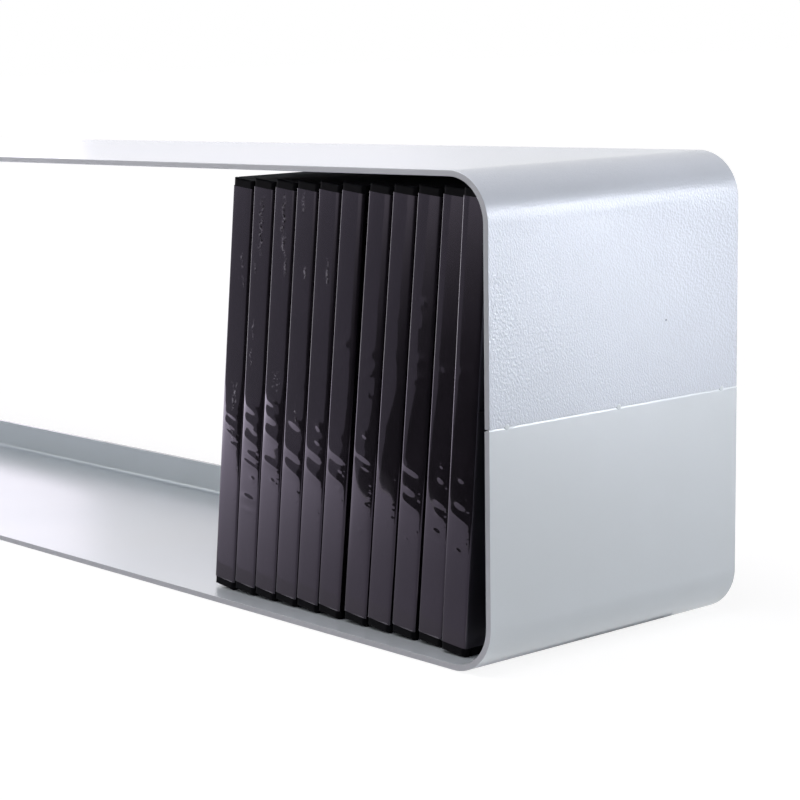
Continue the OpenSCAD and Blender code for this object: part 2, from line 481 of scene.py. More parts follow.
def thicken(piece: Piece, outward: Triple, thickness: float, rim: Material, even: bool = False) -> None:
    """Gives an open face its thickness on the inner side.

    Args:
        piece: The object.
        outward: The way that the part of the face that lies farthest along it has to look.
        thickness: The thickness.
        rim: Material of the rim.
        even: Whether the thickness stays the same round tight bends.
    """
    way = Vector(outward)
    if max(piece.data.polygons, key=lambda p: p.center.dot(way)).normal.dot(way) < 0:
        piece.data.flip_normals()
    piece.data.materials.append(rim)
    thick = piece.modifiers.new("thickness", "SOLIDIFY")
    thick.thickness = thickness
    thick.offset = -1.0
    thick.material_offset_rim = 1
    thick.use_even_offset = even
    apply_modifiers(piece)


def spread(start: float, end: float, steps: int) -> list[float]:
    """Evenly spaced values from start to end, both included."""
    return [start + (end - start) * k / steps for k in range(steps + 1)]


def waves(place: float, *shapes: Triple) -> float:
    """Sum of sine waves at a place, each with its height, pace and start."""
    return sum(height * sin(pace * place + start) for height, pace, start in shapes)


def bell(distance: float, width: float) -> float:
    """Height of a bell curve at a distance from its middle."""
    return exp(-(distance / width) ** 2)


# Shelf

@dataclass
class BentShell:
    """One half of the loop as a bent sheet with eased, coated edges."""

    half: Half
    coat: Material
    edge_coat: Material
    sheet: float = 2.5 * MM
    bend: float = 18 * MM
    ease: float = 0.45 * MM
    ease_segments: int = 4
    seam_ease: float = 0.15 * MM
    sharp_angle: float = radians(50)
    flat_weight: int = 100
    lip_height: float = 0.75 * MM
    lip_inset: float = 0.3 * MM
    lip_waves: tuple[Triple, ...] = ((0.12, 0.9, 0.0), (0.1, 2.3, 1.0), (0.08, 0.31, 2.0))
    seam_rows: tuple[float, ...] = (0, 0.25, 0.5, 0.75, 0.9, 1.2, 1.8, 2.4, 3.2, 4.5)
    wall_gap: float = 8 * MM
    wall_steps: int = 6
    arc_steps: int = 20
    column_step: float = 1.5 * MM
    rear_steps: int = 4
    floor_breaks: Triple = (430 * MM, 250 * MM, 120 * MM)
    upstand_height: float = 19 * MM
    upstand_bend: float = 2.5 * MM
    upstand_steps: int = 6
    upstand_corner: float = 3 * MM
    corner_shares: tuple[float, ...] = (0, 0.08, 0.3, 0.6, 1)
    relief: float = 2 * MM
    hole_radius: float = 2.5 * MM
    hole_inset: float = 120 * MM
    hole_height: float = 12 * MM
    hole_patch: float = 6 * MM
    hole_steps: int = 8
    tack_inset: float = 10 * MM
    dimple_depth: float = 0.12 * MM
    dimple_size: float = 1.6 * MM

    def __post_init__(self) -> None:
        """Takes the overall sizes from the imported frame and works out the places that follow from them."""
        low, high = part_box(Half.LOWER.value)
        self.end, self.front, self.rear = high.x, low.y, high.y
        self.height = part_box(Half.UPPER.value)[1].z
        self.seam = self.height / 2
        self.outer_bend = self.bend + self.sheet
        self.outer_upstand = self.upstand_bend + self.sheet
        self.floor_end = self.end - self.outer_bend
        self.upstand_end = self.floor_end - self.relief
        self.hole = self.end - self.hole_inset

    def wall_levels(self) -> list[float]:
        """Heights of the mesh rows on an end wall, close together at the seam."""
        close = [self.seam - depth * MM for depth in self.seam_rows]
        return close + spread(self.seam - self.wall_gap, self.outer_bend, self.wall_steps)

    def stations(self) -> list[Pair]:
        """Works out the lower half's outer face in its front view.

        Returns:
            Points X, Z from the right seam to the left one.
        """
        right = [(self.end, z) for z in self.wall_levels()]
        for angle in spread(0, pi / 2, self.arc_steps)[1:]:
            x = self.floor_end + self.outer_bend * cos(angle)
            right.append((x, self.outer_bend * (1 - sin(angle))))
        corner = [self.upstand_end - self.upstand_corner * share for share in self.corner_shares]
        patch = (self.hole + self.hole_patch, self.hole - self.hole_patch)
        right += [(x, 0.0) for x in sorted((*corner, *patch, *self.floor_breaks), reverse=True)]
        return right + [(0.0, 0.0)] + [(-x, z) for x, z in reversed(right)]

    def columns(self) -> tuple[list[float], list[float]]:
        """Mesh columns across the depth: up to the upstand's bend, and from there to the rear edge."""
        split = self.rear - self.outer_upstand
        return (spread(self.front, split, round((split - self.front) / self.column_step)),
                spread(split, self.rear, self.rear_steps))

    def sink(self, x: float, y: float, z: float) -> float:
        """Works out how far the outer face leans in round the tack welds and below the seam.

        Args:
            x: Place along the shelf.
            y: Place across its depth.
            z: Height on the lower half.

        Returns:
            The depth of the tacks' dimples and of the lower half's slightly uneven lip.
        """
        if abs(x) < self.end - TINY:
            return 0.0
        tacks = (self.front + self.tack_inset, 0.0, self.rear - self.tack_inset)
        reach = min(hypot(y - tack, z - self.seam) for tack in tacks)
        dimple = self.dimple_depth * bell(reach, self.dimple_size)
        above = z - (self.seam - self.lip_height)
        if self.half is Half.UPPER or above <= 0:
            return dimple
        return dimple + self.lip_inset * (1 + waves(y / MM, *self.lip_waves)) * above / self.lip_height

    def upstand_top(self, x: float) -> float:
        """Height of the upstand's upper edge at a place along it, which drops round its corners."""
        past = min(self.upstand_corner, max(0.0, self.upstand_corner - self.upstand_end + abs(x)))
        return self.upstand_height - self.upstand_corner + sqrt(self.upstand_corner ** 2 - past ** 2)

    def build_face(self) -> Mesh:
        """Builds the outer face of the half as one sheet without thickness.

        Returns:
            The bmesh of the face.
        """
        mesh = bmesh.new()
        stations = self.stations()
        floor_columns, rear_columns = self.columns()
        flip = self.half is Half.UPPER
        rows = []
        for x, z in stations:
            whole = flip or abs(x) >= self.floor_end - TINY
            row = []
            for y in floor_columns + (rear_columns[1:] if whole else []):
                inward = copysign(self.sink(x, y, z), x)
                row.append(mesh.verts.new((x - inward, y, self.height - z if flip else z)))
            rows.append(row)
        skin(mesh, rows)
        if not flip:
            self.add_upstand(mesh, stations, rows)
        return mesh

    def add_upstand(self, mesh: Mesh, stations: list[Pair], rows: Rows) -> None:
        """Carries the floor's rear edge round the small bend and up the upstand.

        Args:
            mesh: The lower half's bmesh.
            stations: Its stations.
            rows: Its rows of vertices, one for each station.
        """
        radius = self.outer_upstand
        ribs = []
        for (x, _), row in zip(stations, rows):
            if abs(x) > self.upstand_end + TINY:
                continue
            rib = [row[-1]]
            for angle in spread(0, pi / 2, self.upstand_steps)[1:]:
                y = self.rear - radius + radius * sin(angle)
                rib.append(mesh.verts.new((x, y, radius * (1 - cos(angle)))))
            rib.append(mesh.verts.new((x, self.rear, self.upstand_top(x))))
            ribs.append(rib)
        skin(mesh, [rib[:-1] for rib in ribs])
        for near, far in zip(ribs, ribs[1:]):
            corners = [near[-2], near[-1], far[-1], far[-2]]
            middle = (near[-1].co.x + far[-1].co.x) / 2
            if abs(abs(middle) - self.hole) < self.hole_patch / 2:
                self.punch_hole(mesh, corners, middle)
            else:
                mesh.faces.new(corners)

    def punch_hole(self, mesh: Mesh, corners: list[bmesh.types.BMVert], x: float) -> None:
        """Fills one cell of the upstand with four faces round a screw hole.

        Args:
            mesh: The lower half's bmesh.
            corners: Near lower, near upper, far upper and far lower corner of the cell, right to left.
            x: Place of the hole along the shelf.
        """
        steps = self.hole_steps
        ring = []
        for angle in spread(-pi / 4, 7 * pi / 4, 4 * steps)[:-1]:
            across, up = self.hole_radius * cos(angle), self.hole_radius * sin(angle)
            ring.append(mesh.verts.new((x + across, self.rear, self.hole_height + up)))
        for quarter in range(4):
            arc = [ring[(quarter * steps + k) % len(ring)] for k in range(steps + 1)]
            mesh.faces.new([corners[quarter], corners[(quarter + 1) % 4], *reversed(arc)])

    def build(self) -> Piece:
        """Builds the half with its thickness and eased edges and puts it on the shelf's body.

        Returns:
            The finished piece.
        """
        piece = object_from(f"{self.half.value}_coated", self.build_face(), self.coat)
        outward = (0.0, 0.0, -1.0 if self.half is Half.LOWER else 1.0)
        thicken(piece, outward, self.sheet, self.edge_coat, even=True)
        self.weigh_edges(piece)
        eased = piece.modifiers.new("eased_edges", "BEVEL")
        eased.width = self.ease
        eased.segments = self.ease_segments
        eased.limit_method = "WEIGHT"
        eased.use_clamp_overlap = True
        weighted = piece.modifiers.new("flat_faces", "WEIGHTED_NORMAL")
        weighted.weight = self.flat_weight
        weighted.keep_sharp = False
        apply_modifiers(piece)
        for vertex in piece.data.vertices:
            vertex.co.z = min(max(vertex.co.z, 0.0), self.height)
        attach(piece, SHELF_BODY)
        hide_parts(self.half.value)
        return piece

    def weigh_edges(self, piece: Piece) -> None:
        """Tells the bevel how far to round each sharp edge: least of all along the seam.

        Args:
            piece: The half with its thickness.
        """
        mesh = bmesh.new()
        mesh.from_mesh(piece.data)
        weight = mesh.edges.layers.float.new("bevel_weight_edge")
        for edge in mesh.edges:
            if edge.calc_face_angle(0.0) < self.sharp_angle:
                continue
            ends = [vertex.co for vertex in edge.verts]
            outer = all(abs(co.z - self.seam) < TINY and abs(co.x) > self.end - MM for co in ends)
            edge[weight] = self.seam_ease / self.ease if outer else 1.0
        mesh.to_mesh(piece.data)
        mesh.free()


@dataclass
class TackWelds:
    """Three small welds through one end wall that bridge the seam."""

    side: Side
    coat: Material
    radius: float = 1.5 * MM
    inset: float = 10 * MM
    count: int = 3
    segments: int = 28
    # Share of the radius and millimetres below the outer face, from the outer cap to the bead inside
    profile: tuple[Pair, ...] = ((0, 0.02), (0.5, 0.022), (0.8, 0.05), (0.94, 0.14), (1, 0.3),
                                 (1, 2.45), (0.95, 2.62), (0.75, 2.8), (0.4, 2.88), (0, 2.9))

    def build(self) -> Piece:
        """Builds the welds of one end wall.

        Returns:
            The finished piece.
        """
        low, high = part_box(Half.LOWER.value)
        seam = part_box(Half.UPPER.value)[1].z / 2
        mesh = bmesh.new()
        for y in spread(low.y + self.inset, high.y - self.inset, self.count - 1):
            rings = []
            for share, depth in self.profile:
                x = self.side.value * (high.x - depth * MM)
                radius = self.radius * share
                turns = spread(0, 2 * pi, self.segments)[:-1] if share else [0.0]
                rings.append([
                    mesh.verts.new((x, y + radius * cos(a), seam + radius * sin(a))) for a in turns
                ])
            self.wrap(mesh, rings)
        piece = object_from(f"tack_welds_{self.side.name.lower()}", mesh, self.coat)
        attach(piece, SHELF_BODY)
        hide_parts(f"{self.side.name.lower()}_tack_welds")
        return piece

    def wrap(self, mesh: Mesh, rings: Rows) -> None:
        """Joins the rings of one weld with faces.

        Args:
            mesh: The bmesh that holds them.
            rings: The rings in order, with a single point at both ends.
        """
        for near, far in zip(rings, rings[1:]):
            for k in range(self.segments):
                after = (k + 1) % self.segments
                ends = [near[0]] if len(near) == 1 else [near[k], near[after]]
                ends += [far[0]] if len(far) == 1 else [far[after], far[k]]
                mesh.faces.new(ends)


# Disc cases

def seat(node: str, width: float, height: float) -> Matrix:
    """Works out from the box of a leaning case where it stands.

    Args:
        node: The case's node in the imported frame.
        width: Thickness of an upright case.
        height: Height of an upright case.

    Returns:
        What carries points of an upright case, with its lower right edge at the origin, to their place.
    """
    low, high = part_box(node)
    wide, tall = high.x - low.x, high.z - low.z
    lean = atan2(height * wide - width * tall, height * tall - width * wide)
    foot = Vector((high.x - height * sin(lean), low.y, low.z))
    return Matrix.Translation(foot) @ Matrix.Rotation(lean, 4, "Y")


@dataclass(frozen=True)
class Fold:
    """One soft crest in slack film: where it lies, how far it reaches and how it runs across the spine."""

    height: float
    lift: float
    across: float = 0.0
    reach: float = 0.7
    width: float = 2.0
    slant: float = 0.6

    def at(self, across: float, z: float) -> float:
        """Height of the crest at a place across the spine, -1 to 1, and a height above the case's foot."""
        away, above = across - self.across, z / MM - self.height
        return self.lift * MM * bell(above + self.slant * away, self.width) * bell(away, self.reach)


@dataclass(frozen=True)
class Crease:
    """A fine crease that wanders up the film."""

    low: float
    high: float
    across: float
    lift: float = 0.05
    width: float = 0.07
    sway: float = 0.08
    wave: float = 7.0
    sways: tuple[Triple, ...] = ((1.0, 1.0, 0.0), (0.5, 2.3, 1.0))
    fade_share: float = 0.35
    fade_pace: float = 1.7

    def at(self, across: float, z: float) -> float:
        """Works out how far the crease stands out at a point.

        Args:
            across: Place across the spine, -1 to 1.
            z: Height above the case's foot, in metres.

        Returns:
            The height of the crease, in metres.
        """
        level = z / MM - self.low
        length = self.high - self.low
        if not 0 < level < length:
            return 0.0
        turn = 2 * pi * level / self.wave
        line = self.across + self.sway * waves(turn, *self.sways)
        fade = sqrt(sin(pi * level / length))
        fade *= 1 - self.fade_share + self.fade_share * sin(self.fade_pace * turn)
        return self.lift * MM * fade * bell(across - line, self.width)


# Folds and creases of each sleeve from the left, in millimetres above the foot of the case
CRUMPLES: tuple[tuple[Fold | Crease, ...], ...] = (
    (Fold(80, 0.3, 0, 1.2, 16), Fold(86, 0.1, 0.1, 0.68, 1.6), Fold(82, 0.12, 0.3, 0.68, 1.5, 1.5),
     Fold(77.5, 0.12, -0.1, 0.68, 1.5, 1), Fold(73, 0.1, 0.2, 0.68, 1.4, 1.5),
     Fold(68.5, 0.06, 0.4, 0.4, 1.2), Crease(84, 98, -0.1, 0.08, 0.09, 0.3, 24),
     Crease(70, 80, 0.1, 0.06, 0.09, 0.25, 9), Crease(150, 158, 0.35, 0.08), Crease(142, 147, 0.6, 0.1),
     Crease(88, 98, 0.35, 0.08)),
    (Fold(80, 0.22, 0, 1.2, 14), Fold(87, 0.22, -0.1, 0.94, 2.4, 1.5),
     Fold(79.5, 0.14, 0.2, 0.81, 1.8, 1.5), Fold(76.5, 0.09, 0.5, 0.4, 1.2, 1),
     Fold(71.5, 0.14, 0, 1.08, 1.9, 1.5), Fold(64.5, 0.11, 0.3, 0.68, 1.6, 1),
     Fold(60.5, 0.11, 0, 0.94, 1.5, 1.2), Fold(54, 0.09, 0.4, 0.3, 1.4, 1),
     Fold(44.6, 0.2, 0, 0.74, 1.6, 0.6), Fold(39, 0.1, 0, 0.68, 1.3, 0.6),
     Crease(156, 183, -0.05, 0.2, 0.1, 0.14, 5), Crease(148, 153, -0.55, 0.14), Crease(118, 128, -0.4, 0.08),
     Crease(106, 114, -0.5, 0.08)),
    (Fold(82, 0.24, 0, 1.2, 14), Fold(91, 0.22, -0.2, 0.68, 2, 1.5), Fold(84.2, 0.24, 0, 0.74, 2.4, 1),
     Fold(75.5, 0.18, 0, 1.15, 2.2, 1.5), Fold(62.5, 0.14, 0, 1.08, 2, 1.2),
     Fold(55, 0.08, 0.3, 0.3, 1.2, 1.5), Crease(163, 184, 0, 0.2, 0.11, 0.1, 8),
     Crease(148, 168, 0.35, 0.14, 0.1, 0.2, 19), Crease(96, 106, 0.1, 0.1, 0.09, 0.3, 3)),
    (Fold(83.5, 0.22, 0.2, 0.81, 2.4, 1.5), Fold(70, 0.15, 0.1, 1.08, 2.2, 1.5),
     Fold(61.4, 0.16, 0.1, 1.08, 2.6, 2), Fold(100, 0.05, 0.2, 0.68, 2.4, -2),
     Crease(148, 154, 0.15, 0.12, 0.1, 0.2, 14), Crease(176, 186, -0.5, 0.1, 0.1, 0.3, 20),
     Crease(84, 92, 0.1, 0.07), Fold(104, 0.05, 0, 0.3, 1.6, -2)),
    (Fold(84, 0.18, 0.3, 0.35, 2, 1.5), Fold(77.3, 0.13, 0.3, 0.35, 1.5, 1),
     Fold(71.5, 0.17, 0.2, 0.94, 2.2, 1.5), Fold(61.6, 0.17, 0.1, 1.08, 2.8, 2),
     Crease(146, 158, 0.15, 0.12, 0.09, 0.2, 22), Fold(103, 0.05, 0.2, 0.4, 1.6, -1)),
    (Fold(81, 0.05, 0.2, 0.4, 1.8, 1), Fold(72.5, 0.17, 0.2, 1.08, 2.3, 1.5),
     Fold(66.5, 0.07, 0.5, 0.3, 1.1, 0.5), Fold(62, 0.15, 0.1, 1.08, 2.4, 1.8),
     Fold(58, 0.07, 0.5, 0.25, 1, 0.5), Fold(121, 0.09, 0.1, 0.45, 2.2, -2.5),
     Fold(112, 0.06, 0, 0.4, 1.6, -2.5)),
    (Fold(47, 0.16, 0, 1.2, 15), Fold(83.6, 0.15, 0, 0.35, 1.5, 1), Fold(74, 0.16, 0.2, 0.94, 2.2, 1.5),
     Fold(69.5, 0.05, 0.3, 0.68, 1, 1), Fold(53, 0.04, 0.6, 0.25, 0.9, 0.5),
     Fold(41.5, 0.07, 0.1, 0.2, 0.8, 1), Fold(118, 0.09, 0, 0.68, 2.4, -2.5),
     Fold(110, 0.07, 0, 0.68, 1.8, -2.5), Fold(101, 0.05, 0, 0.3, 1.4)),
    (Fold(80, 0.04, 0.2, 1.22, 4, 1), Fold(70, 0.04, -0.2, 1.22, 4, 2.5), Fold(118, 0.03, 0.2, 0.4, 2.4),
     Fold(47, 0.06, 0.3, 0.12, 0.6)),
    (Fold(72.4, 0.15, 0, 0.94, 1.9, 1.2), Fold(64, 0.14, -0.1, 0.4, 1.9, 0.8),
     Fold(56.8, 0.13, 0.1, 0.94, 2.2, 1.6), Fold(41.8, 0.08, -0.1, 0.3, 0.9, 1.8),
     Fold(118.5, 0.09, 0, 0.68, 2.2, -1), Fold(111, 0.07, 0, 0.68, 1.8, -1),
     Fold(135, 0.05, 0.2, 0.3, 1.4), Fold(143, 0.05, 0.2, 0.3, 1.4)),
    (Fold(76.6, 0.12, 0.3, 0.25, 1.2, 0.5), Fold(71.2, 0.15, 0.3, 0.35, 1.7, 1),
     Fold(61, 0.11, 0.3, 0.4, 1.7, 1), Fold(55.2, 0.13, 0.3, 0.4, 1.9, 1.6),
     Fold(48, 0.11, 0.1, 0.35, 1.1, 1), Fold(44, 0.04, 0, 1.08, 0.8, 1.2), Fold(116, 0.05, 0.2, 0.4, 2)),
    (Fold(73.5, 0.15, 0.1, 0.4, 1.7, 0.6), Fold(63, 0.13, 0.1, 0.45, 1.8, 1),
     Fold(56.6, 0.14, 0.2, 0.81, 2, 1.8), Fold(43, 0.1, 0.1, 0.35, 1.1, 1.6),
     Fold(66, 0.06, 0.6, 0.15, 0.8), Fold(117, 0.06, 0, 0.68, 2.2, -1)),
)


@dataclass
class FilmSleeve:
    """The clear film round one case, crowned over the spine and folded where it is slack."""

    number: int
    film: Material
    cut_edge: Material
    seat: Matrix
    width: float
    height: float
    inset: float = 0.05 * MM
    thickness: float = 0.15 * MM
    edge_radius: float = 1.2 * MM
    rim: float = 3.6 * MM
    reach: float = 130.9 * MM
    crown_tilt: float = radians(1.0)
    shoulder_tilt: float = radians(3)
    shoulder_power: int = 4
    hold_power: int = 8
    spine_steps: int = 32
    corner_steps: int = 12
    panel_shares: tuple[float, ...] = (0.02, 0.06, 0.14, 0.28, 0.5, 0.75, 1.0)
    fine_step: float = 0.55 * MM
    coarse_step: float = 2.2 * MM
    fold_zone: Pair = (24 * MM, 126 * MM)
    top_zone: float = 140 * MM
    sharp_angle: float = radians(45)
    ragged_depth: float = 0.022 * MM
    ragged_pitch: float = 7.3
    ragged_ripples: tuple[Triple, ...] = ((1.0, 2.1, 0.0), (0.8, 3.7, 1.0))
    ragged_swing: Pair = (0.9, 0.83)
    ragged_bursts: tuple[Triple, ...] = ((1.0, 0.41, 0.0), (0.7, 0.23, 2.0))
    ragged_share: float = 0.4
    ragged_height: Pair = (60.0, 24.0)
    ragged_across: Pair = (0.86, 0.12)

    @property
    def crumples(self) -> tuple[Fold | Crease, ...]:
        """Folds and creases of this sleeve."""
        return CRUMPLES[(self.number - 1) % len(CRUMPLES)]

    def outline(self) -> list[tuple[float, float, float, float, float]]:
        """Works out the plan of the film from the left panel's rear edge round the spine to the right one.

        Returns:
            For each point: x, y, the outward normal's x and y, and the place across the spine from -1 to 1,
            or beyond that on the corners and panels.
        """
        half = self.width / 2
        centre = half - self.inset - self.edge_radius
        tilt = self.crown_tilt + self.shoulder_tilt
        edge = centre + self.edge_radius * sin(tilt)
        edge_y = self.inset + self.edge_radius * (1 - cos(tilt))
        power = self.shoulder_power
        right = []
        for u in spread(0, 1, self.spine_steps // 2):
            slope = self.crown_tilt * u + self.shoulder_tilt * u ** power
            shoulder = self.shoulder_tilt * (1 - u ** (power + 1)) / (power + 1)
            rise = edge * (self.crown_tilt * (1 - u ** 2) / 2 + shoulder)
            right.append((edge * u, edge_y - rise, sin(slope), -cos(slope), u))
        for a in spread(tilt, pi / 2, self.corner_steps)[1:]:
            nx, ny = sin(a), -cos(a)
            y = self.inset + self.edge_radius * (1 + ny)
            right.append((centre + self.edge_radius * nx, y, nx, ny, 1.0 + a))
        start = self.inset + self.edge_radius
        for share in self.panel_shares:
            right.append((half - self.inset, start + (self.reach - start) * share, 1.0, 0.0, 3.0 + share))
        left = [(-x, y, -nx, ny, -u) for x, y, nx, ny, u in reversed(right[1:])]
        return [(x - half, y, nx, ny, u) for x, y, nx, ny, u in left + right]

    def levels(self) -> list[float]:
        """Works out the heights of the mesh rows, close together where the film is folded.

        Returns:
            The heights from the film's lower edge to its upper one.
        """
        stops = (self.rim, *self.fold_zone, self.top_zone, self.height - self.rim)
        steps = (self.coarse_step, self.fine_step, self.coarse_step, self.fine_step)
        rows = [self.rim]
        for low, high, step in zip(stops, stops[1:], steps):
            rows += spread(low, high, round((high - low) / step))[1:]
        return rows

    def fold(self, across: float, z: float) -> float:
        """Works out how far the film stands off its smooth form, with small crinkles by its right edge.

        Args:
            across: Place across the spine, -1 to 1.
            z: Height above the case's foot, in metres.

        Returns:
            The distance, in metres.
        """
        if abs(across) >= 1:
            return 0.0
        hold = 1 - across ** self.hold_power
        folded = hold * sum(crumple.at(across, z) for crumple in self.crumples)
        level = z / MM + self.ragged_pitch * self.number
        ripple = waves(level, *self.ragged_ripples, (*self.ragged_swing, self.number))
        burst = max(0.0, self.ragged_share + waves(level, *self.ragged_bursts))
        middle, reach = self.ragged_height
        line, width = self.ragged_across
        zone = bell(z / MM - middle, reach) * bell(across - line, width)
        return folded + self.ragged_depth * zone * burst * ripple

    def crease_highlight_strength(self, across: float, z: float) -> float:
        """Says how strong the painted highlight along the creases is at a point of the spine, 0 to 1."""
        creases = (crumple for crumple in self.crumples if isinstance(crumple, Crease))
        return min(1.0, sum(crease.at(across, z) / (crease.lift * MM) for crease in creases))

    def build(self) -> Piece:
        """Builds the sleeve and puts it on its case's body.

        Returns:
            The finished piece.
        """
        mesh = bmesh.new()
        outline = self.outline()
        creased = mesh.verts.layers.float.new(CREASED)
        rows = []
        for z in self.levels():
            row = []
            for x, y, nx, ny, across in outline:
                off = self.fold(across, z)
                vertex = mesh.verts.new(self.seat @ Vector((x + nx * off, y + ny * off, z)))
                vertex[creased] = self.crease_highlight_strength(across, z)
                row.append(vertex)
            rows.append(row)
        skin(mesh, rows)
        piece = object_from(f"film_{self.number:02d}", mesh, self.film)
        thicken(piece, (0.0, -1.0, 0.0), self.thickness, self.cut_edge)
        piece.data.set_sharp_from_angle(angle=self.sharp_angle)
        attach(piece, f"disc_case_{self.number:02d}")
        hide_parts(f"sleeve_{self.number:02d}")
        return piece


@dataclass
class DiscCase:
    """One slim case: its moulding, and the film round it."""

    number: int
    plastic: Material
    film: Material
    width: float = 14 * MM
    height: float = 190 * MM

    def build(self) -> list[Piece]:
        """Dresses the moulding and builds the film.

        Returns:
            The moulding and the film.
        """
        name = f"case_{self.number:02d}"
        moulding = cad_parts[name]
        moulding.data.materials.clear()
        moulding.data.materials.append(self.plastic)
        place = seat(name, self.width, self.height)
        sleeve = FilmSleeve(self.number, self.film, self.plastic, place, self.width, self.height)
        return [moulding, sleeve.build()]


# Studio

@dataclass(frozen=True)
class Camera:
    """The photograph's viewpoint."""

    place: Triple = (1.080126, -0.677260, 0.247138)
    yaw: float = 0.94794
    pitch: float = 0.14985
    roll: float = 0.03468
    focal_pixels: float = 2160.72
    centre_x: float = 97.47
    centre_y: float = 385.29
    picture: float = 800.0
    sensor: float = 36.0
    clip_start: float = 0.01

    def build(self) -> None:
        """Makes the camera and gives it to the scene."""
        lens = bpy.data.cameras.new("camera")
        lens.sensor_fit = "HORIZONTAL"
        lens.sensor_width = self.sensor
        lens.lens = self.focal_pixels / self.picture * self.sensor
        lens.shift_x = (self.picture / 2 - self.centre_x) / self.picture
        lens.shift_y = (self.centre_y - self.picture / 2) / self.picture
        lens.clip_start = self.clip_start
        camera = bpy.data.objects.new("camera", lens)
        place = Matrix.Translation(self.place)
        for angle, axis in ((self.yaw, "Z"), (pi / 2 - self.pitch, "X"), (-self.roll, "Z")):
            place = place @ Matrix.Rotation(angle, 4, axis)
        camera.matrix_world = place
        bpy.context.scene.collection.objects.link(camera)
        bpy.context.scene.camera = camera


@dataclass(frozen=True)
class Lamp:
    """A soft rectangular lamp, aimed at a place on the shelf."""

    name: str
    azimuth: float
    elevation: float
    distance: float
    size: Pair
    radiance: float
    target: Triple = (0.5, 0.0, 0.15)
    tint: Triple = (1.0, 1.0, 1.0)

    def build(self) -> None:
        """Makes the lamp."""
        light = bpy.data.lights.new(self.name, "AREA")
        light.shape = "RECTANGLE"
        light.size, light.size_y = self.size
        light.color = self.tint
        light.energy = pi * self.size[0] * self.size[1] * self.radiance
        lamp = bpy.data.objects.new(self.name, light)
        azimuth, elevation = radians(self.azimuth), radians(self.elevation)
        flat = cos(elevation)
        away = Vector((cos(azimuth) * flat, sin(azimuth) * flat, sin(elevation)))
        lamp.location = Vector(self.target) + away * self.distance
        lamp.rotation_euler = away.to_track_quat("Z", "Y").to_euler()
        lamp.visible_camera = False
        bpy.context.scene.collection.objects.link(lamp)


def lying(level: float, *corners: Pair) -> tuple[Triple, ...]:
    """Gives the corners of a card that lies flat."""
    return tuple((*corner, level) for corner in corners)


def standing(start: Pair, end: Pair, top: float = 2.0) -> tuple[Triple, ...]:
    """Gives the corners of a card that stands on the floor along a line."""
    return (*start, 0.0), (*end, 0.0), (*end, top), (*start, top)


def stage_card(name: str, corners: tuple[Triple, ...], material: Material) -> Piece:
    """Makes one flat face of the stage.

    Args:
        name: Its name.
        corners: Its corners in order.
        material: Its material.

    Returns:
        The card.
    """
    mesh = bmesh.new()
    mesh.faces.new([mesh.verts.new(corner) for corner in corners])
    card = object_from(name, mesh, material)
    return card


@dataclass(frozen=True)
class Flag:
    """A flat card that only shiny faces see, with a tone that changes from one place in plan to another."""

    name: str
    corners: tuple[Triple, ...]
    start: Pair
    end: Pair
    tones: Pair
    tint: Triple = (1.0, 0.96, 1.06)

    def build(self) -> None:
        """Makes the card."""
        graph = Graph(bpy.data.materials.new(self.name))
        start, end = Vector((*self.start, 0.0)), Vector((*self.end, 0.0))
        course = (end - start).normalized()
        along = graph.measure("DOT_PRODUCT", course)
        glow = graph.node("ShaderNodeEmission", Color=(*self.tint, 1.0))
        tone = graph.ramp(along, course.dot(start), course.dot(end), *self.tones)
        graph.link(tone, glow.inputs["Strength"])
        graph.show(glow.outputs[0])
        card = stage_card(self.name, self.corners, graph.owner)
        card.visible_camera = False
        card.visible_diffuse = False
        card.visible_transmission = False
        card.visible_shadow = False


# Line on the floor before the shelf, from the right, where the pale paper ends
PAPER_EDGE = ((0.6, -0.19), (0.3, -0.255), (0.0, -0.315), (-0.3, -0.355))

FLAGS = (
    Flag("shade_under_shelf",
         ((-0.6, -0.1, 0.0), (0.49, -0.1, 0.0), (0.49, 0.05, -0.0003), (-0.6, 0.05, -0.0003)),
         (0, -0.1), (0, 0), (0.6, 0.1)),
    Flag("paper_before_shelf",
         lying(0.0, (-0.5, -0.4), *reversed(PAPER_EDGE), (0.6, -0.1), (-0.5, -0.1)),
         (-0.4, -0.2), (0.4, -0.2), (3.4, 0.6), (1.0, 0.95, 1.1)),
    Flag("bright_paper_left",
         lying(0.0, (-6, -2.2), (-2, -0.8), (-0.6, -0.42), (-0.5, -0.4), (-0.5, -0.1), (-6, -0.1)),
         (-6, 0), (0, 0), (3.8, 3.8), (1.0, 1.0, 1.04)),
    Flag("dim_floor",
         lying(0.001, (-6, -6), (6, -6), (6, -0.12), (0.6, -0.12), *PAPER_EDGE, (-0.6, -0.42), (-2, -0.8),
               (-6, -2.2)),
         (-2.2, -1.0), (-0.6, -2.0), (0.56, 0.34), (1.0, 0.96, 1.12)),
    Flag("dark_floor",
         lying(0.002, (0.3, -0.255), (0.16, -0.283), (0.06, -0.4), (-0.049, -0.542), (-0.284, -0.763),
               (-1.69, -2.19), (-5.5, -6), (0.6, -6), (0.6, -0.19)),
         (0, -0.4), (-1.5, -2.4), (0.08, 0.75)),
    Flag("black_floor",
         lying(0.003, (0.3, -0.255), (0.25, -0.265), (0.142, -0.457), (-0.166, -0.851), (-1.4, -2.43),
               (-4.19, -6), (6, -6), (6, -0.12), (0.6, -0.12), (0.6, -0.19)),
         (0, -0.4), (-1.5, -2.4), (0.06, 0.6)),
    Flag("dim_wall", standing((-6, -6), (-5.3, -6)), (-6, -6), (-5.3, -6), (0.14, 0.1)),
    Flag("dim_side_wall", standing((-6, -2.2), (-6, -6)), (-6, -2.2), (-6, -6), (0.3, 0.14)),
    Flag("dark_wall", standing((-5.3, -6), (6, -6)), (-5.3, -6), (-3, -6), (0.08, 0.04)),
)

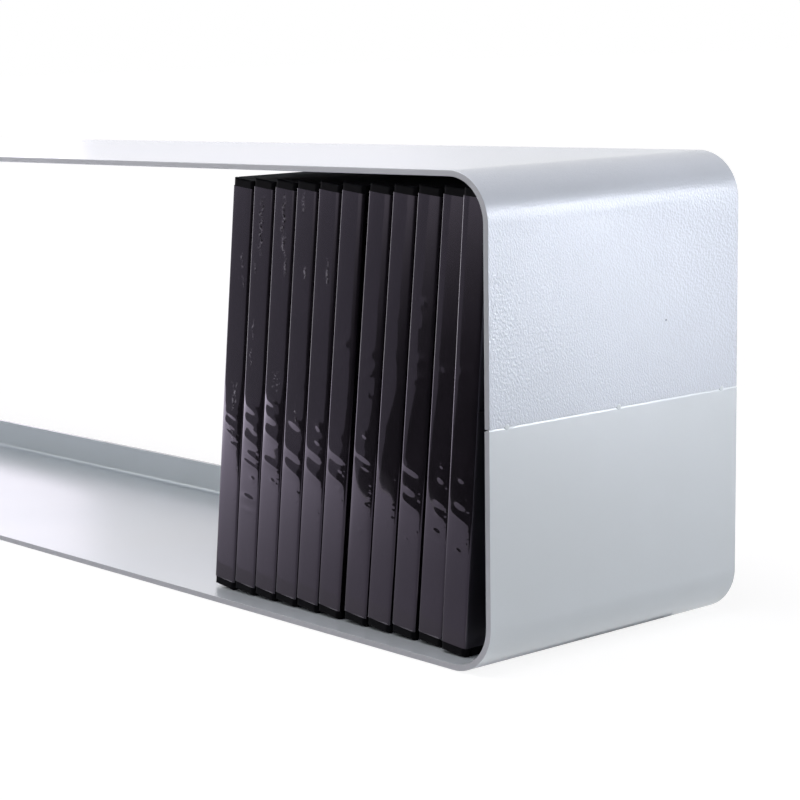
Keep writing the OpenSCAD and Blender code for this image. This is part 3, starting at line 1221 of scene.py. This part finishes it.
ROSY = (1.02, 0.98, 1.02)
LAMPS = (
    Lamp("rear_right_strip", 45.8, 0.0, 0.71, (0.05, 0.27), 21.7, tint=(0.965, 0.985, 1.05)),
    Lamp("rear_right_bar", 45.8, 16.0, 0.71, (0.27, 0.05), 21.5, tint=(0.98, 0.985, 1.04)),
    Lamp("right_top_softbox", 20, 60, 1.8, (1.0, 1.0), 1.3, tint=ROSY),
    Lamp("front_left_softbox", -130, 40, 2.0, (1.2, 1.0), 2.6, (0.0, 0.0, 0.1)),
    Lamp("front_left_low", -125, 18, 2.0, (1.0, 0.7), 3.2, (0.0, 0.0, 0.1)),
    Lamp("front_top_softbox", -90, 77, 1.8, (1.6, 0.7), 3.9, (0.3, -0.07, 0.0), ROSY),
    Lamp("rear_left_softbox", 147, 30, 1.6, (1.2, 0.8), 0.76, (0.0, 0.0, 0.1), (1.05, 0.94, 1.06)),
    Lamp("rear_left_low", 148, 10, 1.2, (0.4, 0.2), 1.85, (-0.1, 0.0, 0.1), (1.02, 0.92, 1.08)),
    Lamp("rear_top_softbox", 90, 55, 1.8, (1.6, 0.9), 0.3, (0.2, 0.0, 0.1), ROSY),
)


@dataclass
class Studio:
    """Pale floor, white surroundings, dark flags, soft lamps and the camera."""

    floor_reach: float = 30.0
    floor_level: float = -0.5 * MM
    floor_tone: float = 0.9
    floor_seen_tone: float = 0.24
    floor_glow: Pair = (0.86, 1.0)
    glow_radii: Pair = (0.5, 1.6)
    ambient: float = 0.04

    def build_world(self) -> None:
        """Makes the surroundings: white to look at, dimmer as a light."""
        graph = Graph(bpy.data.worlds.new("surroundings"))
        background = graph.node("ShaderNodeBackground", Color=(1, 1, 1, 1))
        strength = graph.ramp(graph.seen_directly(), 0.0, 1.0, self.ambient, 1.0)
        graph.link(strength, background.inputs["Strength"])
        graph.show(background.outputs["Background"], "ShaderNodeOutputWorld")
        bpy.context.scene.world = graph.owner

    def build_floor(self) -> None:
        """Makes the pale floor, which stays white to look at and keeps the shelf's shadow."""
        graph = Graph(bpy.data.materials.new("studio_floor"))
        paper, faint = (
            graph.node("ShaderNodeBsdfDiffuse", Color=(tone, tone, tone, 1)).outputs[0]
            for tone in (self.floor_tone, self.floor_seen_tone)
        )
        glow = graph.node("ShaderNodeEmission")
        strength = graph.ramp(graph.measure("LENGTH"), *self.glow_radii, *self.floor_glow)
        graph.link(strength, glow.inputs["Strength"])
        seen = graph.node("ShaderNodeAddShader")
        graph.link(faint, seen.inputs[0])
        graph.link(glow.outputs[0], seen.inputs[1])
        mixed = graph.node("ShaderNodeMixShader")
        for place, source in enumerate((graph.seen_directly(), paper, seen.outputs[0])):
            graph.link(source, mixed.inputs[place])
        graph.show(mixed.outputs[0])
        reach = self.floor_reach
        corners = lying(self.floor_level, (-reach, -reach), (reach, -reach), (reach, reach), (-reach, reach))
        stage_card("floor", corners, graph.owner)

    def build(self) -> None:
        """Builds the whole studio."""
        self.build_world()
        self.build_floor()
        for fitting in (*FLAGS, *LAMPS):
            fitting.build()
        Camera().build()
        bpy.context.scene.view_settings.view_transform = "Standard"


def main() -> None:
    """Builds the shelf, the row of cases and the studio in order."""
    logging.basicConfig(level=logging.INFO, format="%(name)s: %(message)s")
    coarse_coat = PowderCoat("coat_upper", peel_depth=0.17 * MM, dark_specks=((0.5, 0.0288, 0.1328),),
                             pale=(0.535, 0.578, 0.645), shade=(0.505, 0.548, 0.61),
                             coat_roughness=0.16, painted_flank_shading=0.165).make()
    fine_coat = PowderCoat("coat_lower", peel_depth=0.006 * MM).make()
    edge_coat = PowderCoat("coat_cut_edges", peel_depth=0.006 * MM,
                           pale=(0.485, 0.5, 0.525), shade=(0.46, 0.475, 0.5)).make()
    plastic = MouldedBlack().make()
    film = ClearFilm().make()
    for half, coat in ((Half.LOWER, fine_coat), (Half.UPPER, coarse_coat)):
        log.info("built %s", BentShell(half, coat, edge_coat).build().name)
    for side in Side:
        log.info("built %s", TackWelds(side, fine_coat).build().name)
    count = sum(name.startswith("case_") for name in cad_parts)
    for number in range(1, count + 1):
        for piece in DiscCase(number, plastic, film).build():
            log.info("dressed %s", piece.name)
    Studio().build()


if __name__ == "__main__":
    main()
